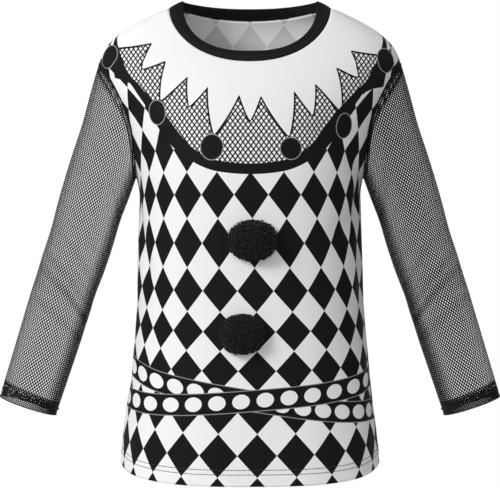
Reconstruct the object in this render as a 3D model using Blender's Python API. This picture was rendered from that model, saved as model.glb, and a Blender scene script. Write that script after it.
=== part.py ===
"""A jester's long-sleeved top, filled out as if worn: knitted front and back, net sleeves and two pompoms.

It is worked out in millimetres. Height 0 is where the shoulder seams meet the neckband, the front
faces -Y and the wearer's left is +X. Meshes are made in metres.
"""

import math
import random
from collections import namedtuple

import bmesh
import bpy
from mathutils import Matrix, Vector

MM = 0.001

# Driving dimensions
HEM_CENTRE = -546.0  # height of the hem at centre front and centre back
HEM_SIDE = -529.0  # the hem rises over the hips to the side seams
ARMPIT = -198.5
SHOULDER_TIP = -65.0
ARMHOLE_HALF_DEPTH = 36.0
NECK_HALF_WIDTH = 94.5
FRONT_NECK_DROP = 68.3
FRONT_NECK_CURVE = 1.1  # about 1 is an even curve, and more is flatter over the shoulders
BACK_NECK_DROP = 8.4
BACK_NECK_CURVE = 3.2
CUFF_CENTRE = Vector((258.5, -10.0, -464.0))
CUFF_HALF_WIDTH = 34.3
CUFF_HALF_DEPTH = 29.5
CUFF_TILT = math.radians(18.7)  # the cuff's edge is square to the arm
SLEEVE_FALL = CUFF_TILT
SLEEVE_FULLNESS = 5.0  # how far the sleeve stands out, front and back, half way down the arm
SECTION_POWER = 2.3  # 2 would be a plain ellipse

KNIT = 1.2  # thickness of the body's knit
NET = 1.0  # thickness of the sleeve net
HEM_DEPTH = 18.5
HEM_LAYERS = 2  # the hem is turned up once inside
SEAM_GAP = 0.3
NECKBAND_THICKNESS = 2.2
BAND_EDGE_SHARE = 0.55  # the folded rib thins to its fold and its seam
BAND_CROWN = 0.8  # and is a little round
BAND_SIDE = Vector((78.5, 0, 8.3))  # the band's top edge at the shoulder
BAND_FRONT = Vector((0, -48, -55))
BAND_BACK = Vector((0, 40, 4.4))
CUFF_BAND = 10.5
CUFF_THICKNESS = 1.7

Section = namedtuple("Section", "height half_width front back")
BODY = [
    Section(0, 94.5, 14, 30),
    Section(-5, 107.5, 19, 47),
    Section(-19, 135, 28, 61),
    Section(-33, 155.5, 36.5, 69),
    Section(-47, 168.5, 44.5, 75),
    Section(-65, 176, 57, 80),
    Section(-74, 173.7, 62.5, 82),
    Section(-99, 163.6, 75.5, 87),
    Section(-133, 147.8, 86, 91),
    Section(-167, 138.5, 91, 92),
    Section(-198, 133.3, 93, 90.5),
    Section(-218, 130.3, 93, 89),
    Section(-250, 130, 93, 86),
    Section(-300, 131.5, 92.5, 84),
    Section(-350, 133, 94, 87),
    Section(-400, 137.3, 97, 92),
    Section(-450, 142.2, 100, 97),
    Section(-500, 148.3, 102, 100),
    Section(-545, 152.3, 103, 102),
]

# A fold is a soft trough or ridge. Turn is the angle round the body from centre front, towards the
# wearer's left; each end of the fold has its own turn and height.
Fold = namedtuple("Fold", "turn_1 height_1 turn_2 height_2 width depth")
FOLDS = [
    Fold(74, -196, 34, -150, 13, -3.0),
    Fold(82, -214, 50, -262, 15, -2.6),
    Fold(-76, -200, -40, -160, 13, -2.2),
    Fold(-84, -222, -62, -300, 12, -2.8),
    Fold(70, -215, 74, -330, 12, -2.2),
    Fold(-92, -330, -86, -430, 14, -2.4),
    Fold(60, -420, 52, -545, 24, 2.4),
    Fold(-48, -440, -56, -545, 22, 2.2),
    Fold(12, -470, 8, -545, 26, -1.8),
    Fold(118, -196, 150, -160, 15, -3.0),
    Fold(-118, -198, -148, -158, 15, -2.8),
    Fold(122, -300, 150, -330, 18, -2.6),
    Fold(-126, -310, -160, -338, 18, -2.6),
    Fold(140, -430, 146, -545, 24, 2.6),
    Fold(-136, -420, -142, -545, 24, 2.4),
    Fold(180, -450, 176, -545, 26, -2.0),
]

# The same for a sleeve, with down from 0 at the armhole to 1 at the cuff, and its length as a share too.
SleeveFold = namedtuple("SleeveFold", "down length turn depth")
SLEEVE_FOLDS = [
    SleeveFold(0.18, 0.08, 2.7, -1.6),
    SleeveFold(0.50, 0.07, 3.6, -1.6),
    SleeveFold(0.62, 0.05, 1.2, 1.4),
]

Pompom = namedtuple("Pompom", "x height width tall")
POMPOMS = {
    "pompom_upper": Pompom(3.0, -272.0, 57.5, 47.0),
    "pompom_lower": Pompom(-9.0, -376.6, 51.5, 46.5),
}
POMPOM_DEPTH = 34.0
CORE_SHARE = 0.62  # of the pompom's size
LOCK_GAP = 0.35  # between the roots of neighbouring locks
LOCK_SPREAD = (1.5, 0.7)  # how a lock widens to its middle and narrows to its tip
BACK_BARE = 0.25  # locks are left off the core where it faces the cloth

COLUMNS = 14  # across half a panel
BODY_ROWS = 11  # hem to armpit
YOKE_ROWS = 12  # armpit to shoulder
SLEEVE_SIDES = 2 * YOKE_ROWS  # so that the corners of the two sides of a seam lie against each other
SLEEVE_ROWS = 10
CUFF_ROWS = 2
NECK_SIDES = 2 * COLUMNS
BAND_ROWS = 3
NECK_SHARE = 0.5  # of a panel's top edge that is neckline, the rest being shoulder seam


def section(height):
    """The body's half width, front depth and back depth at a height, on a smooth curve."""
    rows = BODY
    i = 0
    while i < len(rows) - 2 and height < rows[i + 1].height:
        i += 1
    here, there = rows[i], rows[i + 1]
    before, after = rows[max(i - 1, 0)], rows[min(i + 2, len(rows) - 1)]
    span = there.height - here.height
    t = min(max((height - here.height) / span, 0), 1)
    values = []
    for k in (1, 2, 3):
        slope_here = (there[k] - before[k]) / (there.height - before.height)
        slope_there = (after[k] - here[k]) / (after.height - here.height)
        values.append(
            here[k] * (2 * t**3 - 3 * t**2 + 1)
            + there[k] * (3 * t**2 - 2 * t**3)
            + slope_here * span * (t**3 - 2 * t**2 + t)
            + slope_there * span * (t**3 - t**2)
        )
    return values


def power(value, exponent):
    return math.copysign(abs(value) ** exponent, value)


def fold_depth(turn, height):
    """How far the cloth stands out at a place, all folds together."""
    radius = 115.0
    total = 0.0
    for fold in FOLDS:
        start = Vector((0.0, fold.height_1))
        run = Vector((math.radians(fold.turn_2 - fold.turn_1) * radius, fold.height_2 - fold.height_1))
        away = (turn - fold.turn_1 + 180) % 360 - 180
        here = Vector((math.radians(away) * radius, height)) - start
        along = here.dot(run) / run.length_squared
        across = (here - run * along).length / fold.width
        past = max(-along, along - 1, 0) * run.length / (1.4 * fold.width)
        total += fold.depth * math.exp(-(across**2) - past**2)
    return total


def on_body(side, share, height):
    """A point of the cloth. Side is -1 on the front and 1 on the back; share runs from -1 to 1 across it."""
    half_width, front, back = section(height)
    depth = front if side < 0 else back
    angle = share * math.pi / 2
    power_of = 2 / SECTION_POWER
    x = half_width * power(math.sin(angle), power_of)
    y = side * depth * power(math.cos(angle), power_of)
    outward = Vector((
        power(x / half_width, SECTION_POWER - 1) / half_width,
        power(y / depth, SECTION_POWER - 1) / depth,
        0,
    )).normalized()
    turn = share * 90 if side < 0 else 180 - share * 90
    return Vector((x, y, height)) + outward * fold_depth(turn, height)


def share_at(half_width, x):
    return math.asin(min(abs(x / half_width) ** (SECTION_POWER / 2), 1)) * 2 / math.pi


def seam_share(side, height):
    """The share across a panel where its edge stops short of the side or shoulder seam."""
    _, front, back = section(height)
    depth = front if side < 0 else back
    return 1 - math.asin((SEAM_GAP * 0.7 / depth) ** (SECTION_POWER / 2)) * 2 / math.pi


def hem_height(share):
    return HEM_SIDE + (HEM_CENTRE - HEM_SIDE) * (1 - abs(share) ** 3) ** 2


def armhole(side, round_it):
    """Share and height on the armhole. Round_it is 0 at the shoulder tip and pi at the armpit."""
    middle = (SHOULDER_TIP + ARMPIT) / 2
    height = middle + (SHOULDER_TIP - ARMPIT) / 2 * math.cos(round_it)
    _, front, back = section(height)
    depth = front if side < 0 else back
    y = max(ARMHOLE_HALF_DEPTH * math.sin(round_it), SEAM_GAP * 0.7)
    return 1 - math.asin((y / depth) ** (SECTION_POWER / 2)) * 2 / math.pi, height


def neckline(side, turn):
    """Share and height on the neck seam. Turn is 0 at the centre and pi / 2 at the shoulder."""
    drop, curve = (FRONT_NECK_DROP, FRONT_NECK_CURVE) if side < 0 else (BACK_NECK_DROP, BACK_NECK_CURVE)
    height = -drop * abs(math.cos(turn)) ** curve
    half_width = section(height)[0]
    share = share_at(half_width, NECK_HALF_WIDTH * math.sin(turn) ** 0.92)
    return min(share, seam_share(side, height)), height


def panel_place(side, across, up):
    """Share and height of a place on the part of a panel above the armpit, both from 0 to 1."""

    def top(across):
        if across <= NECK_SHARE:
            return neckline(side, across / NECK_SHARE * math.pi / 2)
        height = SHOULDER_TIP * (across - NECK_SHARE) / (1 - NECK_SHARE)
        return seam_share(side, height), height

    def bottom(across):
        return across * seam_share(side, ARMPIT), ARMPIT

    centre_top = top(0)[1]
    middle = (0, ARMPIT + (centre_top - ARMPIT) * up)
    edge = armhole(side, math.pi * (1 - up))
    corners = (bottom(0), bottom(1), top(0), top(1))
    return tuple(
        (1 - up) * bottom(across)[k] + up * top(across)[k]
        + (1 - across) * middle[k] + across * edge[k]
        - (1 - up) * ((1 - across) * corners[0][k] + across * corners[1][k])
        - up * ((1 - across) * corners[2][k] + across * corners[3][k])
        for k in (0, 1)
    )


def material(name, colour, roughness):
    made = bpy.data.materials.new(name)
    made.use_nodes = True
    shader = made.node_tree.nodes["Principled BSDF"]
    shader.inputs["Base Color"].default_value = (*colour, 1)
    shader.inputs["Roughness"].default_value = roughness
    shader.inputs["Metallic"].default_value = 0
    return made


PRINTED_KNIT = material("printed knit", (0.42, 0.42, 0.43), 0.75)
BLACK_RIB = material("black rib", (0.015, 0.015, 0.017), 0.8)
BLACK_NET = material("black net", (0.02, 0.02, 0.022), 0.7)
BLACK_YARN = material("black yarn", (0.012, 0.012, 0.013), 0.95)


def finish(name, bm, finish_material):
    bmesh.ops.recalc_face_normals(bm, faces=bm.faces)
    mesh = bpy.data.meshes.new(name)
    bm.to_mesh(mesh)
    bm.free()
    mesh.shade_smooth()
    mesh.materials.append(finish_material)
    made = bpy.data.objects.new(name, mesh)
    bpy.context.scene.collection.objects.link(made)


def cloth_wall(columns, rows, place, thickness, tube=False, stay=0):
    """A closed wall of cloth. Place(column, row) gives its outer points, thickness(row) how deep it is.

    A tube is joined round. Stay is the side of the shoulder and side seams, -1 or 1, that it keeps to.
    """
    bm = bmesh.new()
    bmesh.ops.create_grid(bm, x_segments=columns, y_segments=rows, size=0.5)
    inwards = bm.verts.layers.float_vector.new("inwards")
    depth = bm.verts.layers.float.new("depth")
    for vert in bm.verts:
        column = round((vert.co.x + 0.5) * columns)
        row = round((vert.co.y + 0.5) * rows)
        vert.co = place(column % columns if tube else column, row) * MM
        vert[depth] = thickness(row) * MM
    if tube:
        bmesh.ops.remove_doubles(bm, verts=bm.verts, dist=0.01 * MM)
    bm.normal_update()
    middle = sum((vert.co for vert in bm.verts), Vector()) / len(bm.verts)
    if stay:
        middle.y = 0
    if sum(face.normal.dot(face.calc_center_median() - middle) for face in bm.faces) < 0:
        bmesh.ops.reverse_faces(bm, faces=bm.faces)
        bm.normal_update()
    for vert in bm.verts:
        vert[inwards] = -vert.normal * vert[depth]
    made = bmesh.ops.extrude_face_region(bm, geom=bm.faces[:], use_keep_orig=True)
    for vert in made["geom"]:
        if isinstance(vert, bmesh.types.BMVert):
            vert.co += vert[inwards]
            if stay:
                vert.co.y = stay * max(stay * vert.co.y, SEAM_GAP / 2 * MM)
    return bm


def panel(name, side):
    """The front or the back, cut with half a neckline, two shoulders and two half armholes."""
    hem_rows = 3
    body_rows = BODY_ROWS - hem_rows

    def place(column, row):
        across = (column - COLUMNS) / COLUMNS
        if row > BODY_ROWS:
            share, height = panel_place(side, abs(across), (row - BODY_ROWS) / YOKE_ROWS)
            return on_body(side, math.copysign(share, across), height)
        low = hem_height(across)
        turned = low + HEM_DEPTH
        if row < hem_rows:
            height = (low, turned - SEAM_GAP, turned + SEAM_GAP)[row]
        else:
            height = turned + (ARMPIT - turned) * (row - hem_rows + 1) / (body_rows + 1)
        return on_body(side, across * seam_share(side, height), height)

    def thickness(row):
        return KNIT * HEM_LAYERS if row < hem_rows - 1 else KNIT

    finish(name, cloth_wall(2 * COLUMNS, BODY_ROWS + YOKE_ROWS, place, thickness, stay=side), PRINTED_KNIT)


def armhole_point(hand, round_it):
    """A point of the armhole edge. Round_it starts at the shoulder tip, runs down the front and up the back."""
    side = -1 if round_it <= math.pi else 1
    turn = round_it if side < 0 else 2 * math.pi - round_it
    share, height = armhole(side, turn)
    return on_body(side, hand * share, height)


def cuff_point(hand, round_it):
    along = Vector((math.cos(CUFF_TILT), 0, math.sin(CUFF_TILT)))
    point = CUFF_CENTRE + along * CUFF_HALF_WIDTH * math.cos(round_it)
    point.y -= CUFF_HALF_DEPTH * math.sin(round_it)
    return Vector((hand * point.x, point.y, point.z))


def sleeve_point(hand, round_it, down):
    """A point of the sleeve, down from 0 at the armhole to 1 at the cuff's edge."""
    top, low = armhole_point(hand, round_it), cuff_point(hand, round_it)
    out = Vector((hand * math.cos(SLEEVE_FALL), 0, -math.sin(SLEEVE_FALL)))
    start = top + out * SEAM_GAP * 1.5 + (low - top).normalized() * SEAM_GAP
    point = start.lerp(low, down)
    fullness = SLEEVE_FULLNESS * math.sin(math.pi * down**0.6)
    point.y -= fullness * math.sin(round_it)
    for fold in SLEEVE_FOLDS:
        near = fold.depth * math.exp(-(((down - fold.down) / fold.length) ** 2))
        point.x -= hand * near * math.cos(round_it - fold.turn)
        point.y += near * math.sin(round_it - fold.turn)
    return point


def sleeve_and_cuff(hand, word):
    length = (cuff_point(hand, 0) - armhole_point(hand, 0)).length
    band_start = 1 - CUFF_BAND / length
    net_end = band_start - SEAM_GAP / length

    def turn(column):
        return column * 2 * math.pi / SLEEVE_SIDES

    def net(column, row):
        return sleeve_point(hand, turn(column), net_end * (row / SLEEVE_ROWS) ** 1.15)

    def band(column, row):
        return sleeve_point(hand, turn(column), band_start + (1 - band_start) * row / CUFF_ROWS)

    sleeve = cloth_wall(SLEEVE_SIDES, SLEEVE_ROWS, net, lambda row: NET, tube=True)
    finish(f"sleeve_{word}", sleeve, BLACK_NET)
    cuff = cloth_wall(SLEEVE_SIDES, CUFF_ROWS, band, lambda row: CUFF_THICKNESS, tube=True)
    finish(f"cuff_{word}", cuff, BLACK_NET)


def neckband():
    """A folded rib band that stands on the neckline and leans in over the shoulders."""

    def place(column, row):
        round_it = column * 2 * math.pi / NECK_SIDES
        side = -1 if round_it <= math.pi else 1
        turn = round_it if side < 0 else 2 * math.pi - round_it
        hand = 1 if turn <= math.pi / 2 else -1
        share, height = neckline(side, abs(math.pi / 2 - turn))
        seam = on_body(side, hand * share, height)
        edge, curve = (BAND_FRONT, 0.9) if side < 0 else (BAND_BACK, BACK_NECK_CURVE)
        from_shoulder = math.sin(turn)
        top = Vector((
            BAND_SIDE.x * power(math.cos(turn), 0.8),
            edge.y * from_shoulder**0.95,
            BAND_SIDE.z + (edge.z - BAND_SIDE.z) * from_shoulder**curve,
        ))
        lean = (top - seam).normalized()
        start = seam + lean * SEAM_GAP * 1.5
        up = row / BAND_ROWS
        return start.lerp(top, up) + Vector((0, 0, BAND_CROWN * math.sin(math.pi * up)))

    def thickness(row):
        return NECKBAND_THICKNESS * (1 if 0 < row < BAND_ROWS else BAND_EDGE_SHARE)

    finish("neckband", cloth_wall(NECK_SIDES, BAND_ROWS, place, thickness, tube=True), BLACK_RIB)


def front_surface(x, height):
    """Where the outside of the front lies."""
    share = share_at(section(height)[0], x)
    return on_body(-1, math.copysign(share, x), height)


def pompom(name, place):
    """Yarn cut short round a tied core, a little flatter than wide, and sewn to the front at its back."""
    shuffle = random.Random(name)
    seat = front_surface(place.x, place.height).y - SEAM_GAP
    core = Vector((place.width, POMPOM_DEPTH, place.tall)) / 2 * CORE_SHARE
    middle = Vector((place.x, seat - core.y, place.height))

    bm = bmesh.new()
    bmesh.ops.create_icosphere(bm, subdivisions=3, radius=1)
    bm.normal_update()
    taken, roots = set(), []
    for face in bm.faces:
        near = {other.index for edge in face.edges for other in edge.link_faces}
        if face.normal.y < BACK_BARE and not near & taken:
            taken.add(face.index)
            roots.append(face)
    bmesh.ops.transform(bm, verts=bm.verts, matrix=Matrix.Diagonal((*core * MM, 1)))
    bmesh.ops.inset_individual(bm, faces=roots, thickness=LOCK_GAP * MM)
    for spread in LOCK_SPREAD:
        made = bmesh.ops.extrude_discrete_faces(bm, faces=roots)
        roots = made["faces"]
        for face in roots:
            here = face.calc_center_median()
            outward = Vector((here.x / place.width**2, here.y / POMPOM_DEPTH**2, here.z / place.tall**2))
            outward.normalize()
            reach = (1 - CORE_SHARE) * shuffle.uniform(0.86, 1.06) / len(LOCK_SPREAD)
            half = Vector((place.width * outward.x, POMPOM_DEPTH * outward.y, place.tall * outward.z)).length / 2
            shift = outward * half * reach * MM
            for vert in face.verts:
                vert.co = here + (vert.co - here) * spread + shift
                vert.co.y = min(vert.co.y, (core.y - SEAM_GAP * 3) * MM)
    bmesh.ops.translate(bm, verts=bm.verts, vec=middle * MM)
    finish(name, bm, BLACK_YARN)


for old in list(bpy.data.objects):
    bpy.data.objects.remove(old)
panel("front", -1)
panel("back", 1)
sleeve_and_cuff(-1, "right")
sleeve_and_cuff(1, "left")
neckband()
for name, place in POMPOMS.items():
    pompom(name, place)
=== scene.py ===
"""A jester's long-sleeved top as it looks when worn: printed knit, net sleeves, rib neckband and two pompoms."""

import math
import random
from collections import namedtuple
from functools import lru_cache

import bmesh
import bpy
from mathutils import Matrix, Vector


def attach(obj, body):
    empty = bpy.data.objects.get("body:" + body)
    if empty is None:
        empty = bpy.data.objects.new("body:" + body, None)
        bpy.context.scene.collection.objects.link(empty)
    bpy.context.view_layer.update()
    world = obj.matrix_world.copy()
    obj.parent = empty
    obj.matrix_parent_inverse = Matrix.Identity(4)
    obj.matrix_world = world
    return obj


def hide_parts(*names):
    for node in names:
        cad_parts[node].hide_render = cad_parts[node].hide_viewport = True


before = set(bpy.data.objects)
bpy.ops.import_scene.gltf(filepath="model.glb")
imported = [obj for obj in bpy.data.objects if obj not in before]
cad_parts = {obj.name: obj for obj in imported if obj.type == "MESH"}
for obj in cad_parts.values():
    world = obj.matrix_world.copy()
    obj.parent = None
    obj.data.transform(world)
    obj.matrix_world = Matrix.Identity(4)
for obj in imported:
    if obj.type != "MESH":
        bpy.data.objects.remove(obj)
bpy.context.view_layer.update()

# ---- The front -------------------------------------------------------------------------------------
# A printed knit panel from the hem to the shoulder seams. Its form comes from rings at fifteen or so
# heights, in millimetres, and its print is worked out in the flat cloth: s runs across it from the
# middle, and h up it, from the hem.

MM = 0.001
HEM_CENTRE = -546.0
HEM_SIDE = -529.0
ARMPIT = -198.5
SHOULDER_TIP = -65.0
ARMHOLE_HALF_DEPTH = 36.0
NECK_HALF_WIDTH = 94.5
FRONT_NECK_DROP = 68.3
FRONT_NECK_CURVE = 1.1
BACK_NECK_DROP = 8.4
BACK_NECK_CURVE = 3.2
NECK_SHARE = 0.5  # of a panel's top edge that is neckline
SECTION_POWER = 2.3
SEAM_GAP = 0.3
KNIT = 1.2
HEM_DEPTH = 18.5
HEM_THICKNESS = 2.0

Section = namedtuple("Section", "height half_width front back")
BODY = [
    Section(0, 94.5, 14, 30),
    Section(-5, 107.5, 19, 47),
    Section(-19, 135, 28, 61),
    Section(-33, 155.5, 36.5, 69),
    Section(-47, 168.5, 44.5, 75),
    Section(-65, 176, 57, 80),
    Section(-74, 173.7, 62.5, 82),
    Section(-99, 163.6, 75.5, 87),
    Section(-133, 147.8, 86, 91),
    Section(-167, 138.5, 91, 92),
    Section(-198, 133.3, 93, 90.5),
    Section(-218, 130.3, 93, 89),
    Section(-250, 130, 93, 86),
    Section(-300, 131.5, 92.5, 84),
    Section(-350, 133, 94, 87),
    Section(-400, 137.3, 97, 92),
    Section(-450, 142.2, 100, 97),
    Section(-500, 148.3, 102, 100),
    Section(-545, 152.3, 103, 102),
]

# A fold runs from one turn and height to another. Turn is degrees round the body from centre front.
Fold = namedtuple("Fold", "turn_1 height_1 turn_2 height_2 width depth")
FOLDS = [
    Fold(74, -196, 34, -150, 13, -3.0),
    Fold(82, -214, 50, -262, 15, -2.6),
    Fold(-76, -200, -40, -160, 13, -2.2),
    Fold(-84, -222, -62, -300, 12, -2.8),
    Fold(70, -215, 74, -330, 12, -2.2),
    Fold(-92, -330, -86, -430, 14, -2.4),
    Fold(60, -420, 52, -545, 24, 2.4),
    Fold(-48, -440, -56, -545, 22, 2.2),
    Fold(12, -470, 8, -545, 26, -1.8),
    Fold(118, -196, 150, -160, 15, -3.0),
    Fold(-118, -198, -148, -158, 15, -2.8),
    Fold(122, -300, 150, -330, 18, -2.6),
    Fold(-126, -310, -160, -338, 18, -2.6),
    Fold(140, -430, 146, -545, 24, 2.6),
    Fold(-136, -420, -142, -545, 24, 2.4),
    Fold(180, -450, 176, -545, 26, -2.0),
]


def section(height):
    """The body's half width, front depth and back depth at a height, on a smooth curve."""
    i = 0
    while i < len(BODY) - 2 and height < BODY[i + 1].height:
        i += 1
    here, there = BODY[i], BODY[i + 1]
    before, after = BODY[max(i - 1, 0)], BODY[min(i + 2, len(BODY) - 1)]
    span = there.height - here.height
    t = min(max((height - here.height) / span, 0), 1)
    values = []
    for k in (1, 2, 3):
        slope_here = (there[k] - before[k]) / (there.height - before.height)
        slope_there = (after[k] - here[k]) / (after.height - here.height)
        values.append(
            here[k] * (2 * t**3 - 3 * t**2 + 1)
            + there[k] * (3 * t**2 - 2 * t**3)
            + slope_here * span * (t**3 - 2 * t**2 + t)
            + slope_there * span * (t**3 - t**2)
        )
    return values


def power(value, exponent):
    return math.copysign(abs(value) ** exponent, value)


def fold_depth(turn, height):
    """How far the cloth stands out at a place, all folds together."""
    radius = 115.0
    total = 0.0
    for fold in FOLDS:
        run_x = math.radians(fold.turn_2 - fold.turn_1) * radius
        run_y = fold.height_2 - fold.height_1
        away = (turn - fold.turn_1 + 180) % 360 - 180
        x, y = math.radians(away) * radius, height - fold.height_1
        along = (x * run_x + y * run_y) / (run_x**2 + run_y**2)
        across = math.hypot(x - run_x * along, y - run_y * along) / fold.width
        past = max(-along, along - 1, 0) * math.hypot(run_x, run_y) / (1.4 * fold.width)
        total += fold.depth * math.exp(-(across**2) - past**2)
    return total


def ring_point(side, share, height):
    """A point of the plain form. Side is -1 on the front, 1 on the back; share runs -1 to 1 across it."""
    half_width, front, back = section(height)
    depth = front if side < 0 else back
    angle = share * math.pi / 2
    x = half_width * power(math.sin(angle), 2 / SECTION_POWER)
    y = side * depth * power(math.cos(angle), 2 / SECTION_POWER)
    outward = Vector((
        power(x / half_width, SECTION_POWER - 1) / half_width,
        power(y / depth, SECTION_POWER - 1) / depth,
        0,
    )).normalized()
    return Vector((x, y, height)), outward


def on_body(side, share, height, out=0.0):
    """A point of the cloth with its folds, or out millimetres off it."""
    point, outward = ring_point(side, share, height)
    turn = share * 90 if side < 0 else 180 - share * 90
    return point + outward * (fold_depth(turn, height) + out)


def share_at(half_width, x):
    return math.asin(min(abs(x / half_width) ** (SECTION_POWER / 2), 1)) * 2 / math.pi


def seam_share(side, height):
    """The share across a panel where its edge stops short of the side or shoulder seam."""
    depth = section(height)[1 if side < 0 else 2]
    return 1 - math.asin((SEAM_GAP * 0.7 / depth) ** (SECTION_POWER / 2)) * 2 / math.pi


def hem_height(share):
    return HEM_SIDE + (HEM_CENTRE - HEM_SIDE) * (1 - abs(share) ** 3) ** 2


def armhole(side, round_it):
    """Share and height on the armhole. Round_it is 0 at the shoulder tip and pi at the armpit."""
    height = (SHOULDER_TIP + ARMPIT) / 2 + (SHOULDER_TIP - ARMPIT) / 2 * math.cos(round_it)
    depth = section(height)[1 if side < 0 else 2]
    y = max(ARMHOLE_HALF_DEPTH * math.sin(round_it), SEAM_GAP * 0.7)
    return 1 - math.asin((y / depth) ** (SECTION_POWER / 2)) * 2 / math.pi, height


def neckline(side, turn):
    """Share and height on the neck seam. Turn is 0 at the centre and pi / 2 at the shoulder."""
    drop, curve = (FRONT_NECK_DROP, FRONT_NECK_CURVE) if side < 0 else (BACK_NECK_DROP, BACK_NECK_CURVE)
    height = -drop * abs(math.cos(turn)) ** curve
    share = share_at(section(height)[0], NECK_HALF_WIDTH * math.sin(turn) ** 0.92)
    return min(share, seam_share(side, height)), height


def panel_place(side, across, up):
    """Share and height of a place on the part of a panel above the armpit, both from 0 to 1."""

    def top(across):
        if across <= NECK_SHARE:
            return neckline(side, across / NECK_SHARE * math.pi / 2)
        height = SHOULDER_TIP * (across - NECK_SHARE) / (1 - NECK_SHARE)
        return seam_share(side, height), height

    def bottom(across):
        return across * seam_share(side, ARMPIT), ARMPIT

    middle = (0, ARMPIT + (top(0)[1] - ARMPIT) * up)
    edge = armhole(side, math.pi * (1 - up))
    corners = (bottom(0), bottom(1), top(0), top(1))
    return tuple(
        (1 - up) * bottom(across)[k] + up * top(across)[k]
        + (1 - across) * middle[k] + across * edge[k]
        - (1 - up) * ((1 - across) * corners[0][k] + across * corners[1][k])
        - up * ((1 - across) * corners[2][k] + across * corners[3][k])
        for k in (0, 1)
    )


ARC_STEPS = 60
LEVEL = 8.0


@lru_cache(maxsize=None)
def arcs(side, level):
    """How far along the cloth each of some even shares is from the middle, at one level."""
    lengths = [0.0]
    before = ring_point(side, 0, -level * LEVEL)[0]
    for i in range(1, ARC_STEPS + 1):
        here = ring_point(side, i / ARC_STEPS, -level * LEVEL)[0]
        lengths.append(lengths[-1] + (here - before).length)
        before = here
    return lengths


def across_cloth(side, share, height):
    """Millimetres along the cloth from its middle to a place."""

    def at(level):
        where = min(abs(share), 1) * ARC_STEPS
        i = min(int(where), ARC_STEPS - 1)
        lengths = arcs(side, level)
        return lengths[i] + (lengths[i + 1] - lengths[i]) * (where - i)

    level = max(-height / LEVEL, 0)
    low = int(level)
    return math.copysign(at(low) + (at(low + 1) - at(low)) * (level - low), share)


def up_cloth(share, height):
    """The height in the cloth, where the hem is straight."""
    if height > ARMPIT:
        return height
    return ARMPIT + (HEM_CENTRE - ARMPIT) * (height - ARMPIT) / (hem_height(share) - ARMPIT)


# The harlequin diamonds, as columns and half rows from where four of them meet.
DIAMOND_WIDTH = 38.0
DIAMOND_WIDTH_GROWTH = 7.0  # down to the hem
HALF_ROW = 24.4
FIRST_MEETING = -97.0
WAIST_STRETCH = 12.0  # the knit is drawn out over the waist
EDGE_COLUMN = 3.36  # beyond this the columns keep one width
EDGE_RATE = 1.6
CLOSING = 0.0112
SHOULDER_SPREAD = 0.22  # the columns widen towards the shoulders, as the chest is drawn out
SHOULDER_START = -195.0
SHOULDER_REACH = 98.0


def front_lattice(s, h):
    down = min(max((-h - 200) / 340, -0.4), 1)
    middle = 0.5 + 7.5 * min(max(down * 2, 0), 1)
    spread = 1 + SHOULDER_SPREAD * (max(h - SHOULDER_START, 0) / SHOULDER_REACH) ** 1.7
    far = (s - middle) / spread / (DIAMOND_WIDTH + DIAMOND_WIDTH_GROWTH * down)
    edge = EDGE_COLUMN - CLOSING * EDGE_COLUMN**3
    if abs(far) < edge:
        column = far
        for _ in range(8):
            column = far + CLOSING * column**3
    else:
        column = math.copysign(EDGE_COLUMN + (abs(far) - edge) * EDGE_RATE, far)
    stretched = h + WAIST_STRETCH * math.exp(-(((h + 330) / 80) ** 2))
    return column, (FIRST_MEETING - stretched) / HALF_ROW - 4


COLLAR_TOP = 8.0  # the collar's points are laid out round this height on the centre line
BAND_WIDTH = 12.0  # of the black band that edges it, at centre front
BAND_SWELL = 7.0  # at the sides of the chest
SWELL_ANGLE = 31.0
SWELL_REACH = 9.0
BAND_TAPER = 3.5  # beyond them
TIP_ANGLES = (-56.0, 51.8)  # where the band runs into the black diamonds at the shoulder tips
TIP_BLACK = 17.0
TIP_REACH = 7.0
TIP_SPREAD = 0.85


def collar_place(s, h):
    """Degrees round the collar from its centre line, the distance out, and how far inside its edge that is.

    The last is counted in widths of the black band round the edge, and is -1 on the band's outer side.
    """
    angle = math.degrees(math.atan2(s, COLLAR_TOP - h))
    radius = math.hypot(s, COLLAR_TOP - h)
    share = min(max((abs(angle) - 10) / 33, 0), 1)
    edge = 165 + 29 * (1 + math.cos(math.pi * share)) / 2
    band = BAND_WIDTH + BAND_SWELL * math.exp(-(((abs(angle) - SWELL_ANGLE) / SWELL_REACH) ** 2))
    band -= BAND_TAPER * min(max((abs(angle) - 42) / 12, 0), 1)
    past = max(TIP_ANGLES[0] - angle, angle - TIP_ANGLES[1], 0)
    band += TIP_BLACK * min(past / TIP_REACH, 1) + TIP_SPREAD * past
    return angle, radius, (edge - radius) / band


def srgb(text):
    """A colour from its hex name, as light values."""
    parts = [int(text[i : i + 2], 16) / 255 for i in (0, 2, 4)]
    return (*[c / 12.92 if c <= 0.04045 else ((c + 0.055) / 1.055) ** 2.4 for c in parts], 1)


def node(tree, kind, *inputs, **settings):
    """Adds a node and gives its first output. A socket is linked to it, and a number is set on it."""
    made = tree.nodes.new(kind)
    for name, value in settings.items():
        setattr(made, name, value)
    for socket, value in zip(made.inputs, inputs):
        if isinstance(value, bpy.types.NodeSocket):
            tree.links.new(value, socket)
        elif value is not None:
            socket.default_value = value
    return made.outputs[0]


def calc(tree, operation, *inputs):
    return node(tree, "ShaderNodeMath", *inputs, operation=operation)


def paint(tree, under, colour, where):
    """The colour under, with another over it where a value is 1."""
    made = tree.nodes.new("ShaderNodeMix")
    made.data_type = "RGBA"
    for socket, value in ((made.inputs[0], where), (made.inputs[6], under), (made.inputs[7], colour)):
        if isinstance(value, bpy.types.NodeSocket):
            tree.links.new(value, socket)
        else:
            socket.default_value = value
    return made.outputs[2]


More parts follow.
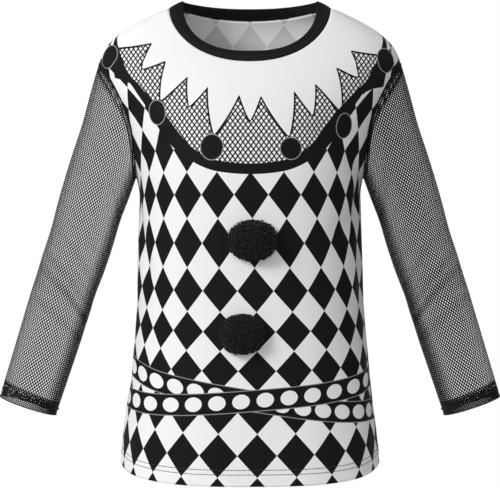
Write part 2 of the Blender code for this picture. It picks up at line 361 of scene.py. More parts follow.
def parts_of(tree, attribute):
    """The three values of an attribute."""
    vector = node(tree, "ShaderNodeAttribute", attribute_name=attribute)
    vector = vector.node.outputs["Vector"]
    return tree.links.new(vector, tree.nodes.new("ShaderNodeSeparateXYZ").inputs[0]).to_node.outputs


def cloth_material(name, roughness, sheen):
    made = bpy.data.materials.new(name)
    made.use_nodes = True
    shader = made.node_tree.nodes["Principled BSDF"]
    shader.inputs["Roughness"].default_value = roughness
    shader.inputs["Sheen Weight"].default_value = sheen
    shader.inputs["Sheen Roughness"].default_value = 0.5
    shader.inputs["Specular IOR Level"].default_value = 0.15
    return made, made.node_tree, shader


KNIT_WHITE = srgb("F5F6F7")
KNIT_BLACK = srgb("0F0F11")
PRINT_GREY = srgb("97989A")
STITCH_PITCH = 1.3  # of the knit's columns


def knit_bump(tree, shader, depth):
    """Fine columns of knit stitches in the cloth's own places."""
    s, h, _ = parts_of(tree, "cloth")
    columns = calc(tree, "SINE", calc(tree, "MULTIPLY", s, 2 * math.pi / STITCH_PITCH))
    rows = calc(tree, "SINE", calc(tree, "MULTIPLY", h, 2 * math.pi / STITCH_PITCH))
    height = calc(tree, "ADD", columns, calc(tree, "MULTIPLY", rows, 0.6))
    bump = tree.nodes.new("ShaderNodeBump")
    bump.inputs["Strength"].default_value = 0.25
    bump.inputs["Distance"].default_value = depth * MM
    tree.links.new(height, bump.inputs["Height"])
    tree.links.new(bump.outputs[0], shader.inputs["Normal"])


def diamonds(tree):
    """1 where a diamond is black."""
    column, half_row, _ = parts_of(tree, "lattice")
    lean = calc(tree, "MULTIPLY", half_row, 0.5)
    rising = calc(tree, "FLOOR", calc(tree, "ADD", column, lean))
    falling = calc(tree, "FLOOR", calc(tree, "SUBTRACT", column, lean))
    return calc(tree, "FLOORED_MODULO", calc(tree, "ADD", rising, falling), 2.0)


def both(tree, *masks):
    made = masks[0]
    for mask in masks[1:]:
        made = calc(tree, "MULTIPLY", made, mask)
    return made


# The collar's net edge: points towards the neck and the notches between them.
Corner = namedtuple("Corner", "angle radius")
COLLAR_EDGE = [
    Corner(-70, 166), Corner(-65, 124), Corner(-56, 151), Corner(-52, 121), Corner(-40, 160),
    Corner(-37, 117), Corner(-28, 147), Corner(-24, 116), Corner(-14, 167), Corner(-6, 116),
    Corner(0, 146), Corner(6, 117), Corner(15, 170), Corner(24, 121), Corner(27, 157),
    Corner(36, 125), Corner(38, 172), Corner(50, 128), Corner(53, 157), Corner(62, 131), Corner(67, 168),
]
ANGLE_RANGE = 75.0
RADIUS_RANGE = 200.0
EDGE_LINE = 2.3
NET_CELL_WIDTH = 5.8
NET_CELL_HEIGHT = 7.9
NET_LINE = 0.33  # of the space between lines
COLLAR_END = 163.0

Bobble = namedtuple("Bobble", "s h width height tilt")
BOBBLES = [
    Bobble(-169, -59, 24, 31, 35),
    Bobble(-108, -127, 22.5, 29, 0),
    Bobble(-43, -167.5, 27, 30, 0),
    Bobble(46, -169, 25.5, 26, 0),
    Bobble(111, -142, 21.5, 29.5, 0),
    Bobble(161, -64, 24, 31, -20),
]
BOBBLE_LINE = 1.1

# Two belts with dots cross in front. A belt's dots start from first_dot.
Belt = namedtuple("Belt", "middle slope first_dot pitch")
BELTS = [Belt(-450.5, -0.16, 11.0, 24.2), Belt(-451.0, 0.075, -10.0, 27.0)]
BELT_HALF_WIDTH = 12.2
BELT_LINE = 0.9
DOT_HALF_WIDTH = 9.8
DOT_HALF_HEIGHT = 8.1


def ellipse(tree, x, y, half_width, half_height):
    """Below 1 inside an ellipse."""
    return calc(
        tree, "SQRT",
        calc(
            tree, "ADD",
            calc(tree, "POWER", calc(tree, "DIVIDE", x, half_width), 2.0),
            calc(tree, "POWER", calc(tree, "DIVIDE", y, half_height), 2.0),
        ),
    )


def print_belts(tree, colour, s, h):
    for belt in BELTS:
        away = calc(tree, "SUBTRACT", h, calc(tree, "MULTIPLY_ADD", s, belt.slope, belt.middle))
        off = calc(tree, "ABSOLUTE", away)
        colour = paint(tree, colour, PRINT_GREY, calc(tree, "LESS_THAN", off, BELT_HALF_WIDTH))
        colour = paint(tree, colour, KNIT_BLACK, calc(tree, "LESS_THAN", off, BELT_HALF_WIDTH - BELT_LINE))
        steps = calc(tree, "MULTIPLY_ADD", s, 1 / belt.pitch, 0.5 - belt.first_dot / belt.pitch)
        along = calc(tree, "MULTIPLY_ADD", calc(tree, "FRACT", steps), belt.pitch, -belt.pitch / 2)
        dot = calc(tree, "LESS_THAN", ellipse(tree, along, away, DOT_HALF_WIDTH, DOT_HALF_HEIGHT), 1.0)
        colour = paint(tree, colour, KNIT_WHITE, dot)
    return colour


def collar_edge(tree, angle, shift):
    """The radius of the collar's pointed edge, a little further round."""
    place = calc(tree, "MULTIPLY_ADD", angle, 0.5 / ANGLE_RANGE, 0.5 + shift * 0.5 / ANGLE_RANGE)
    made = tree.nodes.new("ShaderNodeFloatCurve")
    curve = made.mapping.curves[0]
    while len(curve.points) < len(COLLAR_EDGE):
        curve.points.new(0.5, 0.5)
    for point, corner in zip(curve.points, COLLAR_EDGE):
        point.location = (0.5 + corner.angle * 0.5 / ANGLE_RANGE, corner.radius / RADIUS_RANGE)
        point.handle_type = "VECTOR"
    made.mapping.update()
    tree.links.new(place, made.inputs["Value"])
    return calc(tree, "MULTIPLY", made.outputs[0], RADIUS_RANGE)


def print_collar(tree, colour, s, h):
    angle, radius, inside = parts_of(tree, "collar")
    reach = calc(tree, "LESS_THAN", calc(tree, "ABSOLUTE", s), COLLAR_END)
    colour = paint(tree, colour, KNIT_BLACK, both(tree, reach, calc(tree, "GREATER_THAN", inside, -1.0)))
    yoke = both(tree, reach, calc(tree, "GREATER_THAN", inside, 0.0))
    colour = paint(tree, colour, KNIT_WHITE, yoke)
    edge = collar_edge(tree, angle, 0.0)
    pointed = both(tree, yoke, calc(tree, "GREATER_THAN", radius, edge))
    colour = paint(tree, colour, KNIT_BLACK, pointed)
    turn = math.degrees(EDGE_LINE / RADIUS_RANGE * 1.4)
    inner = calc(tree, "ADD", edge, EDGE_LINE)
    for shift in (-turn, turn):
        inner = calc(tree, "MAXIMUM", inner, collar_edge(tree, angle, shift))
    cell = both(tree, pointed, calc(tree, "GREATER_THAN", radius, inner))
    for rise in (1 / NET_CELL_HEIGHT, -1 / NET_CELL_HEIGHT):
        place = calc(tree, "ADD", calc(tree, "MULTIPLY", s, 1 / NET_CELL_WIDTH), calc(tree, "MULTIPLY", h, rise))
        cell = both(tree, cell, calc(tree, "GREATER_THAN", calc(tree, "FRACT", place), NET_LINE))
    return paint(tree, colour, KNIT_WHITE, cell)


def print_bobbles(tree, colour, s, h):
    for bobble in BOBBLES:
        x = calc(tree, "SUBTRACT", s, float(bobble.s))
        y = calc(tree, "SUBTRACT", h, float(bobble.h))
        cos, sin = math.cos(math.radians(bobble.tilt)), math.sin(math.radians(bobble.tilt))
        turned_x = calc(tree, "MULTIPLY_ADD", x, cos, calc(tree, "MULTIPLY", y, -sin))
        turned_y = calc(tree, "MULTIPLY_ADD", x, sin, calc(tree, "MULTIPLY", y, cos))
        for shade, line in ((PRINT_GREY, 0.0), (KNIT_BLACK, BOBBLE_LINE)):
            away = ellipse(tree, turned_x, turned_y, bobble.width / 2 - line, bobble.height / 2 - line)
            colour = paint(tree, colour, shade, calc(tree, "LESS_THAN", away, 1.0))
    return colour


def front_print():
    made, tree, shader = cloth_material("front print", 0.72, 0.05)
    s, h, _ = parts_of(tree, "cloth")
    colour = paint(tree, KNIT_WHITE, KNIT_BLACK, diamonds(tree))
    colour = print_belts(tree, colour, s, h)
    colour = print_collar(tree, colour, s, h)
    colour = print_bobbles(tree, colour, s, h)
    tree.links.new(colour, shader.inputs["Base Color"])
    knit_bump(tree, shader, 0.05)
    return made


def wrong_side_with_painted_light():
    """The inside of the cloth, where the print shows through faintly, with painted light: its pale ground and
    faint diamonds are painted lighter, the ground even lighter than the front's white, to stand in for light that
    doesn't reach inside the neck.
    """
    made, tree, shader = cloth_material("wrong side", 0.85, 0.05)
    # Painted light: both shades are lighter than the cloth's own, the ground above the front's white, standing in
    # for light inside the neck.
    colour = paint(tree, srgb("FCFDFE"), srgb("DEDFE1"), diamonds(tree))
    tree.links.new(colour, shader.inputs["Base Color"])
    knit_bump(tree, shader, 0.05)
    return made


FRONT_PRINT = front_print()
WRONG_SIDE_WITH_PAINTED_LIGHT = wrong_side_with_painted_light()


def make_piece(name, bm, materials, stands_for):
    mesh = bpy.data.meshes.new(name)
    bm.to_mesh(mesh)
    bm.free()
    mesh.shade_smooth()
    for one in materials:
        mesh.materials.append(one)
    made = bpy.data.objects.new(name, mesh)
    bpy.context.scene.collection.objects.link(made)
    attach(made, "root")
    if stands_for:
        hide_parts(stands_for)
    return made


def cloth_wall(columns, rows, place, thickness, tube=False, stay=0, facts=None):
    """A closed wall of cloth. Place(column, row) gives its outer points, thickness(row) how deep it is.

    A tube is joined round. Stay is the side of the seams, -1 or 1, that it keeps to. Facts(column, row)
    gives vectors to store by name.
    """
    bm = bmesh.new()
    bmesh.ops.create_grid(bm, x_segments=columns, y_segments=rows, size=0.5)
    inwards = bm.verts.layers.float_vector.new("inwards")
    depth = bm.verts.layers.float.new("depth")
    layers = {key: bm.verts.layers.float_vector.new(key) for key in (facts(0, 0) if facts else {})}
    for vert in bm.verts:
        column = round((vert.co.x + 0.5) * columns)
        row = round((vert.co.y + 0.5) * rows)
        vert.co = place(column % columns if tube else column, row) * MM
        vert[depth] = thickness(row) * MM
        for key, value in (facts(column, row) if facts else {}).items():
            vert[layers[key]] = value
    if tube:
        bmesh.ops.remove_doubles(bm, verts=bm.verts, dist=0.01 * MM)
    bm.normal_update()
    middle = sum((vert.co for vert in bm.verts), Vector()) / len(bm.verts)
    if stay:
        middle.y = 0
    if sum(face.normal.dot(face.calc_center_median() - middle) for face in bm.faces) < 0:
        bmesh.ops.reverse_faces(bm, faces=bm.faces)
        bm.normal_update()
    for vert in bm.verts:
        vert[inwards] = -vert.normal * vert[depth]
    made = bmesh.ops.extrude_face_region(bm, geom=bm.faces[:], use_keep_orig=True)
    for part in made["geom"]:
        if isinstance(part, bmesh.types.BMVert):
            part.co += part[inwards]
            if stay:
                part.co.y = stay * max(stay * part.co.y, SEAM_GAP / 2 * MM)
        elif isinstance(part, bmesh.types.BMFace):
            part.material_index = 1
    bmesh.ops.recalc_face_normals(bm, faces=bm.faces)
    bm.verts.layers.float_vector.remove(bm.verts.layers.float_vector["inwards"])
    return bm


PANEL_COLUMNS = 70  # across half a panel
BODY_ROWS = 104
YOKE_ROWS = 76
HEM_ROWS = 8


def panel(name, side, lattice, materials):
    """The front or the back, cut with half a neckline, two shoulders and two half armholes."""

    def where(column, row):
        across = (column - PANEL_COLUMNS) / PANEL_COLUMNS
        if row > BODY_ROWS:
            share, height = panel_place(side, abs(across), (row - BODY_ROWS) / YOKE_ROWS)
            return math.copysign(share, across), height
        low = hem_height(across)
        turned = low + HEM_DEPTH
        if row <= HEM_ROWS:
            height = low + (turned - low) * row / HEM_ROWS
        else:
            height = turned + (ARMPIT - turned) * (row - HEM_ROWS) / (BODY_ROWS - HEM_ROWS)
        return across * seam_share(side, height), height

    def place(column, row):
        return on_body(side, *where(column, row))

    def thickness(row):
        return HEM_THICKNESS if row < HEM_ROWS else KNIT

    def facts(column, row):
        share, height = where(column, row)
        s, h = across_cloth(side, share, height), up_cloth(share, height)
        return {"cloth": (s, h, 0), "lattice": (*lattice(s, h), 0), "collar": collar_place(s, h)}

    bm = cloth_wall(2 * PANEL_COLUMNS, BODY_ROWS + YOKE_ROWS, place, thickness, stay=side, facts=facts)
    made = make_piece(name, bm, materials, name)
    made.name = f"{name}_panel"
    return made


front = panel("front", -1, front_lattice, [FRONT_PRINT, WRONG_SIDE_WITH_PAINTED_LIGHT])

# ---- The back --------------------------------------------------------------------------------------
# The same knit with diamonds right up to the neck, and no collar or belts. Through the neck its wrong
# side shows, pale with the diamonds faint in it, and painted lighter than the front to stand in for
# the light that doesn't reach inside the neck.

BACK_MEETING = -12.0
BACK_WIDTH = 41.0


def back_lattice(s, h):
    return s / BACK_WIDTH, (BACK_MEETING - h) / HALF_ROW


def back_print():
    made, tree, shader = cloth_material("back print", 0.72, 0.05)
    colour = paint(tree, KNIT_WHITE, KNIT_BLACK, diamonds(tree))
    tree.links.new(colour, shader.inputs["Base Color"])
    knit_bump(tree, shader, 0.05)
    return made


back = panel("back", 1, back_lattice, [back_print(), WRONG_SIDE_WITH_PAINTED_LIGHT])

# ---- The hem's stitches ----------------------------------------------------------------------------
# Two rows of grey twin-needle stitches hold the turned hem, right round the body.

STITCH_ROWS = (18.4, 13.2)  # above the hem's edge
HEM_STITCH = 3.2
STITCH_RADIUS = 0.42
STITCH_PARTS = 4


def cords(name, lines, radius, sides, reference, material, closed=True):
    """Round cords along lines of points, all with as many points. Radius(i) is their radius at each."""
    count = len(lines[0])
    spans = count if closed else count - 1
    bm = bmesh.new()
    bmesh.ops.create_grid(bm, x_segments=len(lines) * (spans + 1) - 1, y_segments=sides, size=0.5)
    columns = len(lines) * (spans + 1)
    between = []
    for face in bm.faces:
        if int((face.calc_center_median().x + 0.5) * (columns - 1)) % (spans + 1) == spans:
            between.append(face)
    for vert in bm.verts:
        column = round((vert.co.x + 0.5) * (columns - 1))
        turn = round((vert.co.y + 0.5) * sides) % sides * 2 * math.pi / sides
        line, i = lines[column // (spans + 1)], column % (spans + 1)
        if closed:
            ahead, behind = line[(i + 1) % count], line[(i - 1) % count]
        else:
            ahead, behind = line[min(i + 1, count - 1)], line[max(i - 1, 0)]
        along = (ahead - behind).normalized()
        across = along.cross(reference).normalized()
        up = across.cross(along)
        vert.co = (line[i % count] + (across * math.cos(turn) + up * math.sin(turn)) * radius(i % count)) * MM
    bmesh.ops.delete(bm, geom=between, context="FACES_ONLY")
    bmesh.ops.remove_doubles(bm, verts=bm.verts, dist=0.0005 * MM)
    bmesh.ops.recalc_face_normals(bm, faces=bm.faces)
    return make_piece(name, bm, [material], None)


def hem_line(above, out):
    """Points right round the body, a little above the hem's edge."""
    turns = round(2 * across_cloth(-1, 1, HEM_CENTRE) * 2 / HEM_STITCH) * STITCH_PARTS
    points = []
    for i in range(turns):
        place = i / turns * 4
        side = -1 if place < 2 else 1
        share = place - 1 if side < 0 else 3 - place
        share = math.copysign(min(abs(share), 0.995), share)
        points.append(on_body(side, share, hem_height(share) + above, out))
    return points


def stitch_radius(i):
    """Stitches swell between the needle holes."""
    return STITCH_RADIUS * (0.25 + 0.75 * math.sin(math.pi * (i % STITCH_PARTS) / STITCH_PARTS))


def plain_material(name, colour, roughness, sheen):
    made, _, shader = cloth_material(name, roughness, sheen)
    shader.inputs["Base Color"].default_value = srgb(colour)
    return made


STITCH_GREY = plain_material("stitch thread", "3A3B3D", 0.6, 0.0)
for i, above in enumerate(STITCH_ROWS):
    cords(f"hem_stitches_{i + 1}", [hem_line(above, 0.1)], stitch_radius, 4, Vector((0, 0, 1)), STITCH_GREY)

# ---- The neckband ----------------------------------------------------------------------------------
# A folded band of black rib on the neckline, leaning in over the shoulders, with a line of
# coverstitch beside its seam.

NECKBAND_THICKNESS = 2.2
BAND_CROWN = 0.8
BAND_SIDE = Vector((78.5, 0, 8.3))
BAND_FRONT = Vector((0, -48, -55))
BAND_BACK = Vector((0, 40, 4.4))
BAND_FRONT_CURVE = 0.9
BAND_ROWS = 12
RIBS = 190
RIB_PARTS = 4
RIB_DEPTH = 0.16


def band_place(round_it, up, out=0.0):
    """A point of the band: round from the wearer's left by the front, and up from its seam to its fold."""
    side = -1 if round_it <= math.pi else 1
    turn = round_it if side < 0 else 2 * math.pi - round_it
    hand = 1 if turn <= math.pi / 2 else -1
    share, height = neckline(side, abs(math.pi / 2 - turn))
    seam = on_body(side, hand * share, height)
    edge, curve = (BAND_FRONT, BAND_FRONT_CURVE) if side < 0 else (BAND_BACK, BACK_NECK_CURVE)
    from_shoulder = max(math.sin(turn), 0)
    top = Vector((
        BAND_SIDE.x * power(math.cos(turn), 0.8),
        edge.y * from_shoulder**0.95,
        BAND_SIDE.z + (edge.z - BAND_SIDE.z) * from_shoulder**curve,
    ))
    lean = (top - seam).normalized()
    start = seam + lean * SEAM_GAP * 1.5
    round_axis = Vector((-math.sin(round_it), -math.cos(round_it), 0))
    outward = lean.cross(round_axis).normalized()
    if outward.z < 0:
        outward.negate()
    return start.lerp(top, up) + Vector((0, 0, BAND_CROWN * math.sin(math.pi * up))) + outward * out


def neckband():
    columns = RIBS * RIB_PARTS

    def place(column, row):
        rib = RIB_DEPTH * math.cos(2 * math.pi * column / RIB_PARTS)
        return band_place(column * 2 * math.pi / columns, row / BAND_ROWS, rib)

    def thickness(row):
        return NECKBAND_THICKNESS * (0.55 + 0.45 * (1 - abs(2 * row / BAND_ROWS - 1) ** 4))

    rib = plain_material("black rib", "0F0F11", 0.8, 0.06)
    bm = cloth_wall(columns, BAND_ROWS, place, thickness, tube=True)
    return make_piece("neckband_rib", bm, [rib, rib], "neckband")


band = neckband()
COVER_GREY = plain_material("coverstitch thread", "3A3A3D", 0.6, 0.0)
for word, up in (("low", 0.16), ("high", 0.34)):
    line = [band_place(i * 2 * math.pi / 640, up, 0.45) for i in range(640)]
    cords(f"coverstitch_{word}", [line], stitch_radius, 4, Vector((0, 0, 1)), COVER_GREY)

# ---- The sleeves -----------------------------------------------------------------------------------
# Diamond net, see-through, set into the armholes and narrowing to the cuffs. Each thread is real, and
# stands up a little along its middle.

CUFF_CENTRE = Vector((258.5, -10.0, -464.0))
CUFF_HALF_WIDTH = 34.3
CUFF_HALF_DEPTH = 29.5
CUFF_TILT = math.radians(18.7)
SLEEVE_FULLNESS = 5.0
CUFF_BAND = 10.5
MESH_WIDTH = 3.25
MESH_LENGTH = 4.75
NET_COLUMNS = 104
NET_ROWS = 86
CUFF_GIRTH = 200.0
GIRTH_GROWTH = 0.27  # for each millimetre up the sleeve
OPEN_SHARE = {"right": (0.54, 0.54), "left": (0.48, 0.38)}  # of a mesh, at the cuff and at the shoulder
SEAM_START = 0.68  # of the way round to the underarm seam, where the net closes up
SEAM_CLOSING = 0.7
RIDGE_CLOSING = 0.45  # along the arm's outer line, where the net is drawn out
RIDGE_TURN = 0.5
THREAD_RISE = 0.22
EYE_AWAY = 2000.0  # the camera's distance and height, from where the two sides of the net line up
EYE_HEIGHT = -276.0
LINE_UP_START = 0.025  # of the sleeve's length, at both ends
SLIP_STEPS = 24
SMALL = 0.001

SleeveFold = namedtuple("SleeveFold", "down length turn depth")
SLEEVE_FOLDS = [
    SleeveFold(0.18, 0.08, 2.7, -1.6),
    SleeveFold(0.50, 0.07, 3.6, -1.6),
    SleeveFold(0.62, 0.05, 1.2, 1.4),
]


def armhole_point(hand, round_it):
    """A point of the armhole edge. Round_it starts at the shoulder tip, runs down the front and up the back."""
    round_it %= 2 * math.pi
    side = -1 if round_it <= math.pi else 1
    turn = round_it if side < 0 else 2 * math.pi - round_it
    share, height = armhole(side, turn)
    return on_body(side, hand * share, height)


def cuff_point(hand, round_it):
    along = Vector((math.cos(CUFF_TILT), 0, math.sin(CUFF_TILT)))
    point = CUFF_CENTRE + along * CUFF_HALF_WIDTH * math.cos(round_it)
    point.y -= CUFF_HALF_DEPTH * math.sin(round_it)
    return Vector((hand * point.x, point.y, point.z))


def sleeve_point(hand, round_it, down):
    """A point of the sleeve, down from 0 at the armhole to 1 at the cuff's edge."""
    top, low = armhole_point(hand, round_it), cuff_point(hand, round_it)
    out = Vector((hand * math.cos(CUFF_TILT), 0, -math.sin(CUFF_TILT)))
    start = top + out * SEAM_GAP * 1.5 + (low - top).normalized() * SEAM_GAP
    point = start.lerp(low, down)
    point.y -= SLEEVE_FULLNESS * math.sin(math.pi * down**0.6) * math.sin(round_it)
    for fold in SLEEVE_FOLDS:
        near = fold.depth * math.exp(-(((down - fold.down) / fold.length) ** 2))
        point.x -= hand * near * math.cos(round_it - fold.turn)
        point.y += near * math.sin(round_it - fold.turn)
    return point


def net_tube(columns, rows, place, open_share, rise):
    """A tube of diamond net: the crossings of a grid and its middles, joined by flat threads.

    Place(across, up) gives a point and whether the net is cut off there, for across from -0.5 to 0.5
    and up from 0 to 1. Open_share(across, up) is how much of a mesh is open.
    """
    bm = bmesh.new()
    bmesh.ops.create_grid(bm, x_segments=columns, y_segments=rows, size=0.5)
    straight = bm.edges[:]
    bmesh.ops.poke(bm, faces=bm.faces[:])
    share = bm.verts.layers.float.new("open")
    cut = set()
    for vert in bm.verts:
        across, up = vert.co.x, vert.co.y + 0.5
        vert[share] = open_share(across, up)
        vert.co, past = place(across, up)
        vert.co *= MM
        if past:
            cut.add(vert)
    gone = [face for face in bm.faces if all(vert in cut for vert in face.verts)]
    bmesh.ops.delete(bm, geom=gone, context="FACES")
    bmesh.ops.remove_doubles(bm, verts=bm.verts, dist=0.001 * MM)
    bm.normal_update()
    inner = [edge for edge in straight if edge.is_valid and len(edge.link_faces) == 2]
    bmesh.ops.dissolve_edges(bm, edges=inner, use_verts=False)
    bmesh.ops.recalc_face_normals(bm, faces=bm.faces)
    bm.normal_update()
    crossings = bm.verts[:]
    holes = bm.faces[:]
    bmesh.ops.inset_individual(bm, faces=holes, thickness=0)
    for face in holes:
        middle = face.calc_center_median()
        opened = sum(vert[share] for vert in face.verts) / len(face.verts)
        for vert in face.verts:
            vert.co = middle.lerp(vert.co, opened)
    for vert in crossings:
        vert.co += vert.normal * rise * MM
    bmesh.ops.delete(bm, geom=holes, context="FACES_ONLY")
    return bm


NET_BLACK = plain_material("black net", "131315", 0.7, 0.05)


def sleeve(hand, word):
    length = (cuff_point(hand, 0) - armhole_point(hand, 0)).length
    net_end = 1 - (CUFF_BAND + SEAM_GAP) / length

    @lru_cache(maxsize=None)
    def slip(column, row):
        """How far the back's net goes round and down from even places, to lie behind the front's threads."""
        round_it, down = math.pi * (1 + column / SLIP_STEPS), row / SLIP_STEPS
        front = sleeve_point(hand, -round_it, down)
        turned, lower = round_it, down
        for _ in range(5):
            here = sleeve_point(hand, turned, lower)
            scale = (EYE_AWAY + here.y) / (EYE_AWAY + front.y)
            gap_x = front.x * scale - here.x
            gap_z = EYE_HEIGHT + (front.z - EYE_HEIGHT) * scale - here.z
            a = (sleeve_point(hand, turned + SMALL, lower) - here) / SMALL
            b = (sleeve_point(hand, turned, lower + SMALL) - here) / SMALL
            aa, ab, bb = a.x**2 + a.z**2 + 4, a.x * b.x + a.z * b.z, b.x**2 + b.z**2
            ga, gb = a.x * gap_x + a.z * gap_z, b.x * gap_x + b.z * gap_z
            solid = aa * bb - ab * ab
            turned += (ga * bb - gb * ab) / solid
            lower = min(max(lower + (gb * aa - ga * ab) / solid, 0.001), 1)
        return turned - round_it, lower - down

    def behind(round_it, down):
        x, y = (round_it / math.pi - 1) * SLIP_STEPS, down * SLIP_STEPS
        column, row = min(int(x), SLIP_STEPS - 1), min(int(y), SLIP_STEPS - 1)
        x, y = x - column, y - row
        share = min(max(min(down, net_end - down) / LINE_UP_START, 0), 1)
        moved = [
            (slip(column, row)[k] * (1 - x) + slip(column + 1, row)[k] * x) * (1 - y)
            + (slip(column, row + 1)[k] * (1 - x) + slip(column + 1, row + 1)[k] * x) * y
            for k in (0, 1)
        ]
        return round_it + moved[0] * share, down + moved[1] * share

    def turn_at(across, rise):
        """How far round a column of meshes is, from the shoulder's line, at a height above the cuff."""
        return abs(across) * NET_COLUMNS * MESH_WIDTH / (CUFF_GIRTH + GIRTH_GROWTH * rise) * 2 * math.pi

    def place(across, up):
        rise = up * NET_ROWS * MESH_LENGTH
        turned = min(turn_at(across, rise), math.pi)
        down = net_end - rise / (cuff_point(hand, turned) - armhole_point(hand, turned)).length
        past = turned == math.pi or down < 0
        round_it, down = turned, max(down, 0.0)
        if across < 0:
            round_it, down = behind(2 * math.pi - turned, down)
        return sleeve_point(hand, round_it, down), past

    def open_share(across, up):
        low, high = OPEN_SHARE[word]
        turned = turn_at(across, up * NET_ROWS * MESH_LENGTH)
        near_seam = min(max(2 * (turned / math.pi - SEAM_START) / (1 - SEAM_START), 0), 1)
        near_ridge = math.exp(-((turned / RIDGE_TURN) ** 2))
        return (low + (high - low) * up) * (1 - SEAM_CLOSING * near_seam - RIDGE_CLOSING * near_ridge)

    bm = net_tube(NET_COLUMNS, NET_ROWS, place, open_share, THREAD_RISE)
    made = make_piece(f"sleeve_net_{word}", bm, [NET_BLACK], f"sleeve_{word}")


sleeve(-1, "right")
sleeve(1, "left")

# ---- The cuffs -------------------------------------------------------------------------------------
# The net turned back on itself, so that its threads close up to a dark band with a rolled edge.

CUFF_CELLS_ROUND = 80
CUFF_CELLS_DOWN = 3
CUFF_LAYERS = 2
CUFF_OPEN = {"right": (0.74, 0.2), "left": (0.36, 0.2)}  # of a mesh, outside and inside the arm
CUFF_LAYER_GAP = 0.45
CUFF_THREAD_RISE = 0.05
CUFF_EDGE_PARTS = 120
EDGE_ROLL = 0.7
SEAM_LINE = 0.6
SEAM_SWELL = 0.6  # towards the inside of the arm
SEAM_DROP = 5.5  # of the line behind the arm, so that one line shows through the net


def cuff(hand, word):
    length = (cuff_point(hand, 0) - armhole_point(hand, 0)).length
    start = 1 - CUFF_BAND / length
    inside = CUFF_CENTRE.copy()
    inside.x *= hand
    layers = bmesh.new()
    for layer in range(CUFF_LAYERS):

        def place(across, up, layer=layer):
            round_it = (across + 0.5) % 1 * 2 * math.pi
            point = sleeve_point(hand, round_it, 1 - (1 - start) * up)
            centre = Vector((inside.x, inside.y, point.z))
            return point + (centre - point).normalized() * CUFF_LAYER_GAP * layer, False

        def open_share(across, up):
            outside, within = CUFF_OPEN[word]
            return within + (outside - within) * abs(across) * 2

        one = net_tube(CUFF_CELLS_ROUND, CUFF_CELLS_DOWN, place, open_share, CUFF_THREAD_RISE)
        mesh = bpy.data.meshes.new("layer")
        one.to_mesh(mesh)
        one.free()
        layers.from_mesh(mesh)
        bpy.data.meshes.remove(mesh)
    made = make_piece(f"cuff_net_{word}", layers, [NET_BLACK], f"cuff_{word}")
    out = Vector((hand * math.sin(CUFF_TILT), 0, -math.cos(CUFF_TILT)))
    rolls = (("edge", 1 - EDGE_ROLL / length, EDGE_ROLL, 0, 0), ("seam", start, SEAM_LINE, SEAM_SWELL, SEAM_DROP))
    for name, down, roll, swell, drop in rolls:
        line = []
        for i in range(CUFF_EDGE_PARTS):
            round_it = i * 2 * math.pi / CUFF_EDGE_PARTS
            line.append(sleeve_point(hand, round_it, down + drop / length * max(-math.sin(round_it), 0)))

        def radius(i, roll=roll, swell=swell):
            return roll * (1 + swell * (1 - math.cos(i * 2 * math.pi / CUFF_EDGE_PARTS)))

        cords(f"cuff_{name}_{word}", [line], radius, 6, out, NET_BLACK)


cuff(-1, "right")
cuff(1, "left")

# ---- The armhole seams -----------------------------------------------------------------------------
# A rolled black seam where each sleeve is set in.

SEAM_ROLL = 0.95
SEAM_PARTS = 260

for hand, word in ((-1, "right"), (1, "left")):
    line = []
    for i in range(SEAM_PARTS):
        round_it = i * 2 * math.pi / SEAM_PARTS
        line.append(armhole_point(hand, round_it).lerp(sleeve_point(hand, round_it, 0), 0.5))
    cords(
        f"armhole_seam_{word}", [line], lambda i: SEAM_ROLL * (1 + 0.12 * math.sin(i * 1.9)), 8,
        Vector((1, 0, 0)), NET_BLACK,
    )

# ---- The pompoms -----------------------------------------------------------------------------------
# Black yarn cut short round a tied middle, sewn to the front one above the other.

Pompom = namedtuple("Pompom", "x height width tall")
POMPOMS = {
    "pompom_upper": Pompom(3.0, -272.0, 57.5, 47.0),
    "pompom_lower": Pompom(-9.0, -376.6, 51.5, 46.5),
}
POMPOM_DEPTH = 34.0
SEAT_SHARE = 0.6  # how much of its depth is in front of where it is sewn
CURLS = 620
CURL_POINTS = 10
CURL_RADIUS = (1.5, 3.0)
YARN_RADIUS = 0.62
CORE_SHARE = 0.86
ROUNDNESS = 2.3  # 2 would be a plain ellipse


def front_surface(x, height):
    share = share_at(section(height)[0], x)
    return on_body(-1, math.copysign(share, x), height)


def yarn_material():
    made, tree, shader = cloth_material("black yarn", 0.9, 0.15)
    noise = node(tree, "ShaderNodeTexNoise", node(tree, "ShaderNodeTexCoord").node.outputs["Object"])
    noise.node.inputs["Scale"].default_value = 500.0
    tree.links.new(paint(tree, srgb("09090A"), srgb("1D1D20"), noise), shader.inputs["Base Color"])
    return made


BLACK_YARN = yarn_material()


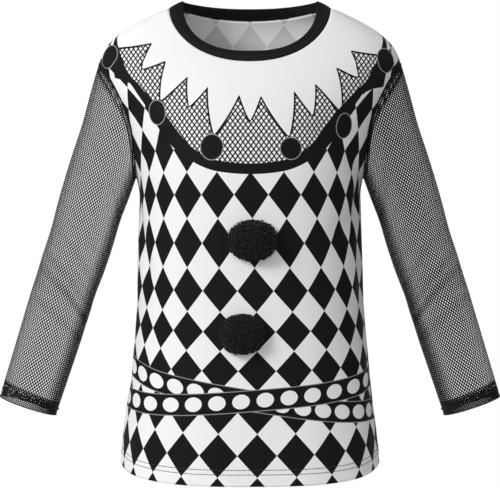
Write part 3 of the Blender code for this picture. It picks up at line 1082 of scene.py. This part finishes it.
def pompom(name, place):
    shuffle = random.Random(name)
    seat = front_surface(place.x, place.height).y - SEAM_GAP
    middle = Vector((place.x, seat - POMPOM_DEPTH * (SEAT_SHARE - 0.5), place.height))
    half = Vector((place.width, POMPOM_DEPTH, place.tall)) / 2

    def skin(way, share):
        """A point of the pompom in a direction from its middle, as a share of the way out."""
        size = sum(abs(way[k] / half[k]) ** ROUNDNESS for k in range(3)) ** (1 / ROUNDNESS)
        point = way / size * share
        point.y = min(point.y, seat - middle.y)
        return point

    bm = bmesh.new()
    bmesh.ops.create_icosphere(bm, subdivisions=4, radius=1)
    for vert in bm.verts:
        vert.co = (middle + skin(vert.co, CORE_SHARE * shuffle.uniform(0.95, 1.05))) * MM
    core = make_piece(f"{name}_core", bm, [BLACK_YARN], name)

    curls = []
    for i in range(CURLS):
        up = 1 - 2 * (i + 0.5) / CURLS
        turn = i * math.pi * (3 - math.sqrt(5))
        way = Vector((math.cos(turn) * math.sqrt(1 - up * up), math.sin(turn) * math.sqrt(1 - up * up), up))
        radius = shuffle.uniform(*CURL_RADIUS)
        centre = skin(way, 1) - way * radius
        first = Vector([shuffle.gauss(0, 1) for _ in range(3)]).normalized()
        second = first.cross(way + Vector([shuffle.gauss(0, 0.4) for _ in range(3)])).normalized()
        sweep = shuffle.uniform(1.2, 2.0) * math.pi
        points = []
        for k in range(CURL_POINTS):
            angle = sweep * k / (CURL_POINTS - 1)
            point = centre + (first * math.cos(angle) + second * math.sin(angle)) * radius
            point.y = min(point.y, seat - middle.y)
            points.append(middle + point)
        curls.append(points)
    cords(f"{name}_curls", curls, lambda i: YARN_RADIUS * math.sin(math.pi * (i + 0.6) / CURL_POINTS) ** 0.4, 4,
          Vector((0.3, 0.5, 0.8)), BLACK_YARN, closed=False)


for name, place in POMPOMS.items():
    pompom(name, place)

# ---- The studio ------------------------------------------------------------------------------------
# A pale round floor under the top, a white surround, a soft key light from the left and front, and the
# camera straight in front.


def floor():
    bm = bmesh.new()
    bmesh.ops.create_circle(bm, cap_ends=True, segments=96, radius=0.4)
    bmesh.ops.translate(bm, verts=bm.verts, vec=(0, 0, -0.62))
    mesh = bpy.data.meshes.new("floor")
    bm.to_mesh(mesh)
    bm.free()
    mesh.materials.append(plain_material("pale floor", "F2F2F2", 0.8, 0.0))
    made = bpy.data.objects.new("floor", mesh)
    bpy.context.scene.collection.objects.link(made)


floor()

world = bpy.data.worlds.new("white surround")
world.use_nodes = True
bpy.context.scene.world = world
sky = world.node_tree
seen = node(sky, "ShaderNodeLightPath")
strength = calc(sky, "MULTIPLY_ADD", seen, 1.0 - 0.3, 0.3)
sky.nodes["Background"].inputs["Color"].default_value = (1, 1, 1, 1)
sky.links.new(strength, sky.nodes["Background"].inputs["Strength"])


def area_light(name, place, target, size, watts):
    light = bpy.data.lights.new(name, "AREA")
    light.size = size
    light.energy = watts
    made = bpy.data.objects.new(name, light)
    made.location = place
    made.rotation_euler = (Vector(target) - Vector(place)).to_track_quat("-Z", "Y").to_euler()
    bpy.context.scene.collection.objects.link(made)


area_light("key", (-1.6, -1.5, 0.9), (0, 0, -0.25), 0.8, 40)
area_light("front", (0.1, -2.4, 0.1), (0, 0, -0.28), 1.6, 8.5)
area_light("behind", (0.5, 2.2, 0.5), (0, 0, -0.3), 1.4, 16)

camera = bpy.data.cameras.new("camera")
camera.sensor_width = 36
camera.lens = 123
viewer = bpy.data.objects.new("camera", camera)
viewer.location = (0, -2.0, -0.276)
viewer.rotation_euler = (math.pi / 2, 0, 0)
bpy.context.scene.collection.objects.link(viewer)
bpy.context.scene.camera = viewer
bpy.context.scene.view_settings.view_transform = "Standard"
